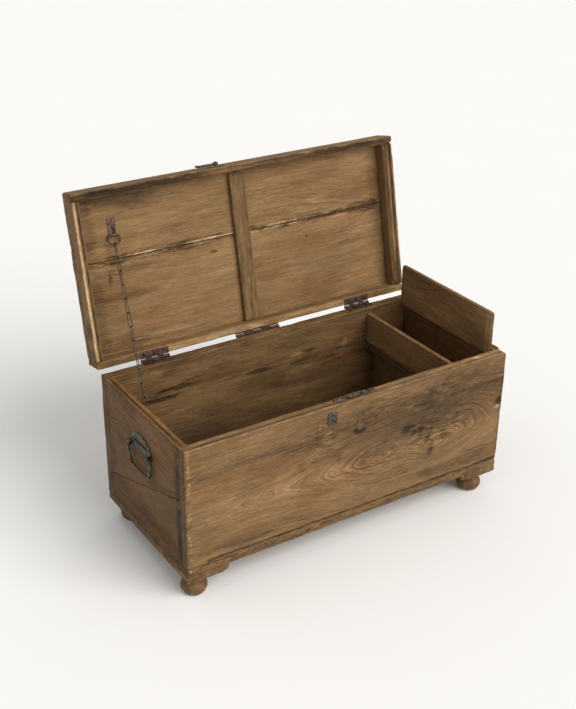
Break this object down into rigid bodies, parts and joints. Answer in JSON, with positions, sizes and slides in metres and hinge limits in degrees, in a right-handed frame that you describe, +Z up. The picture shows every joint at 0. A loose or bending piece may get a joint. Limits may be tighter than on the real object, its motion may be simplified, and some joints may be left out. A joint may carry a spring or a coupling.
{
  "type": "wooden blanket chest",
  "caption": "Antique plank chest with a hinged framed lid standing open, an inner till with its own lid, turned bun feet, iron drop handles, hook and stay chain",
  "frame": {"origin": "on the floor, under the middle of the bounding box of the chest with its lid open", "axes": "+X along the front to the viewer's right, +Y from the front to the back, +Z up"},
  "size_m": [1.0298, 0.6498, 0.9071],
  "materials": {
    "board_wood": "aged bare softwood, worn and stained",
    "end_wood": "darker aged wood, fine grain",
    "lid_wood": "warm unfinished inside of the lid",
    "inside_wood": "dark grey-brown, weathered",
    "foot_wood": "turned, reddish brown, rubbed edges",
    "rusty_iron": "rusted wrought iron",
    "dark_iron": "dark patinated iron, rubbed highlights",
    "chain_wire": "dull grey-brown wire"
  },
  "bodies": {
    "case": {"front_plank_lower": "board_wood", "front_plank_upper": "board_wood", "back_plank_lower": "board_wood", "back_plank_upper": "board_wood", "left_end_plank_lower": "end_wood", "left_end_plank_upper": "end_wood", "right_end_plank_lower": "end_wood", "right_end_plank_upper": "end_wood", "floor_board_front": "board_wood", "floor_board_back": "board_wood", "cleat_left": "board_wood", "cleat_right": "board_wood", "foot_front_left": "foot_wood", "foot_front_right": "foot_wood", "foot_back_left": "foot_wood", "foot_back_right": "foot_wood", "till_side": "inside_wood", "till_floor": "inside_wood", "till_lower_partition": "inside_wood", "lock_plate": "rusty_iron", "lock_case": "rusty_iron", "keyhole_plug": "end_wood", "front_staple": "dark_iron", "hinge_left_case_leaf": "rusty_iron", "hinge_right_case_leaf": "rusty_iron", "hinge_centre_case_leaf": "rusty_iron", "left_handle_plate": "dark_iron", "right_handle_plate": "dark_iron", "chain_pin": "rusty_iron"},
    "lid": {"lid_rail_front": "lid_wood", "lid_rail_back": "lid_wood", "lid_rail_left": "lid_wood", "lid_rail_right": "lid_wood", "lid_plank_front": "lid_wood", "lid_plank_back": "lid_wood", "lid_batten": "lid_wood", "hinge_left_lid_leaf": "rusty_iron", "hinge_right_lid_leaf": "rusty_iron", "hinge_centre_lid_leaf": "rusty_iron", "chain_strap": "rusty_iron", "hook_post": "dark_iron"},
    "till_lid": {"till_lid": "inside_wood"},
    "left_bail": {"left_handle_bail": "dark_iron"},
    "right_bail": {"right_handle_bail": "dark_iron"},
    "hook": {"hook": "dark_iron"},
    "chain_ring": {"chain_ring": "chain_wire", "chain_link_01": "chain_wire"},
    "chain_link_02": {"chain_link_02": "chain_wire"},
    "chain_link_03": {"chain_link_03": "chain_wire"},
    "chain_link_04": {"chain_link_04": "chain_wire"},
    "chain_link_05": {"chain_link_05": "chain_wire", "chain_link_06": "chain_wire", "chain_link_07": "chain_wire"},
    "chain_link_08": {"chain_link_08": "chain_wire"},
    "chain_link_09": {"chain_link_09": "chain_wire"},
    "chain_link_10": {"chain_link_10": "chain_wire"},
    "chain_link_11": {"chain_link_11": "chain_wire"},
    "chain_link_12": {"chain_link_12": "chain_wire"},
    "chain_link_13": {"chain_link_13": "chain_wire"}
  },
  "joints": [
    {"name": "lid_hinge", "type": "hinge", "parent": "case", "child": "lid", "pos_m": [0, 0.16193, 0.4368], "axis": [1, 0, 0], "range_deg": [0, 102.3]},
    {"name": "till_lid_hinge", "type": "hinge", "parent": "case", "child": "till_lid", "pos_m": [0.467, -0.30307, 0.4286], "axis": [0, -1, 0], "range_deg": [0, 90]},
    {"name": "left_bail_swing", "type": "hinge", "parent": "case", "child": "left_bail", "pos_m": [-0.5085, -0.07407, 0.3273], "axis": [0, 1, 0], "range_deg": [0, 110]},
    {"name": "right_bail_swing", "type": "hinge", "parent": "case", "child": "right_bail", "pos_m": [0.5085, -0.07407, 0.3273], "axis": [0, -1, 0], "range_deg": [0, 110]},
    {"name": "lid_hook_swing", "type": "hinge", "parent": "lid", "child": "hook", "pos_m": [-0.0725, 0.28704, 0.90029], "axis": [0, 0.213, 0.977], "range_deg": [0, 90]},
    {"name": "chain_ring_turn", "type": "hinge", "parent": "lid", "child": "chain_ring", "pos_m": [-0.39, 0.2699, 0.76534], "axis": [1, 0, 0], "range_deg": [-13.97, 0]},
    {"name": "chain_link_02_turn", "type": "hinge", "parent": "chain_ring", "child": "chain_link_02", "pos_m": [-0.39759, 0.23454, 0.71826], "axis": [1, 0, 0], "range_deg": [0, 32.56]},
    {"name": "chain_link_03_turn", "type": "hinge", "parent": "chain_link_02", "child": "chain_link_03", "pos_m": [-0.40277, 0.21037, 0.68609], "axis": [1, 0, 0], "range_deg": [0, 128.2]},
    {"name": "chain_link_04_turn", "type": "hinge", "parent": "chain_link_03", "child": "chain_link_04", "pos_m": [-0.40716, 0.1899, 0.65883], "axis": [1, 0, 0], "range_deg": [-125.85, 0]},
    {"name": "chain_link_05_turn", "type": "hinge", "parent": "chain_link_04", "child": "chain_link_05", "pos_m": [-0.41235, 0.16573, 0.62666], "axis": [1, 0, 0], "range_deg": [-16.12, 0]},
    {"name": "chain_link_08_turn", "type": "hinge", "parent": "chain_link_05", "child": "chain_link_08", "pos_m": [-0.42632, 0.10062, 0.53997], "axis": [1, 0, 0], "range_deg": [-120.99, 0]},
    {"name": "chain_link_09_turn", "type": "hinge", "parent": "chain_link_08", "child": "chain_link_09", "pos_m": [-0.4315, 0.07645, 0.5078], "axis": [1, 0, 0], "range_deg": [0, 120.93]},
    {"name": "chain_link_10_turn", "type": "hinge", "parent": "chain_link_09", "child": "chain_link_10", "pos_m": [-0.4359, 0.05598, 0.48054], "axis": [1, 0, 0], "range_deg": [-125.5, 0]},
    {"name": "chain_link_11_turn", "type": "hinge", "parent": "chain_link_10", "child": "chain_link_11", "pos_m": [-0.44108, 0.03181, 0.44837], "axis": [1, 0, 0], "range_deg": [-126.98, 0]},
    {"name": "chain_link_12_turn", "type": "hinge", "parent": "chain_link_11", "child": "chain_link_12", "pos_m": [-0.44547, 0.01134, 0.42111], "axis": [1, 0, 0], "range_deg": [0, 126.65]},
    {"name": "chain_link_13_turn", "type": "hinge", "parent": "chain_link_12", "child": "chain_link_13", "pos_m": [-0.45066, -0.01283, 0.38894], "axis": [1, 0, 0], "range_deg": [0, 71.08]}
  ],
  "couplings": [
    {"joint": "till_lid_hinge", "follows": "lid_hinge", "ratio": 0.87967},
    {"joint": "chain_ring_turn", "follows": "lid_hinge", "ratio": -0.1361},
    {"joint": "chain_link_02_turn", "follows": "lid_hinge", "ratio": 0.3178},
    {"joint": "chain_link_03_turn", "follows": "lid_hinge", "ratio": 1.2527},
    {"joint": "chain_link_04_turn", "follows": "lid_hinge", "ratio": -1.2297},
    {"joint": "chain_link_05_turn", "follows": "lid_hinge", "ratio": -0.1571},
    {"joint": "chain_link_08_turn", "follows": "lid_hinge", "ratio": -1.1822},
    {"joint": "chain_link_09_turn", "follows": "lid_hinge", "ratio": 1.1816},
    {"joint": "chain_link_10_turn", "follows": "lid_hinge", "ratio": -1.2263},
    {"joint": "chain_link_11_turn", "follows": "lid_hinge", "ratio": -1.2408},
    {"joint": "chain_link_12_turn", "follows": "lid_hinge", "ratio": 1.2375},
    {"joint": "chain_link_13_turn", "follows": "lid_hinge", "ratio": 0.6943}
  ]
}
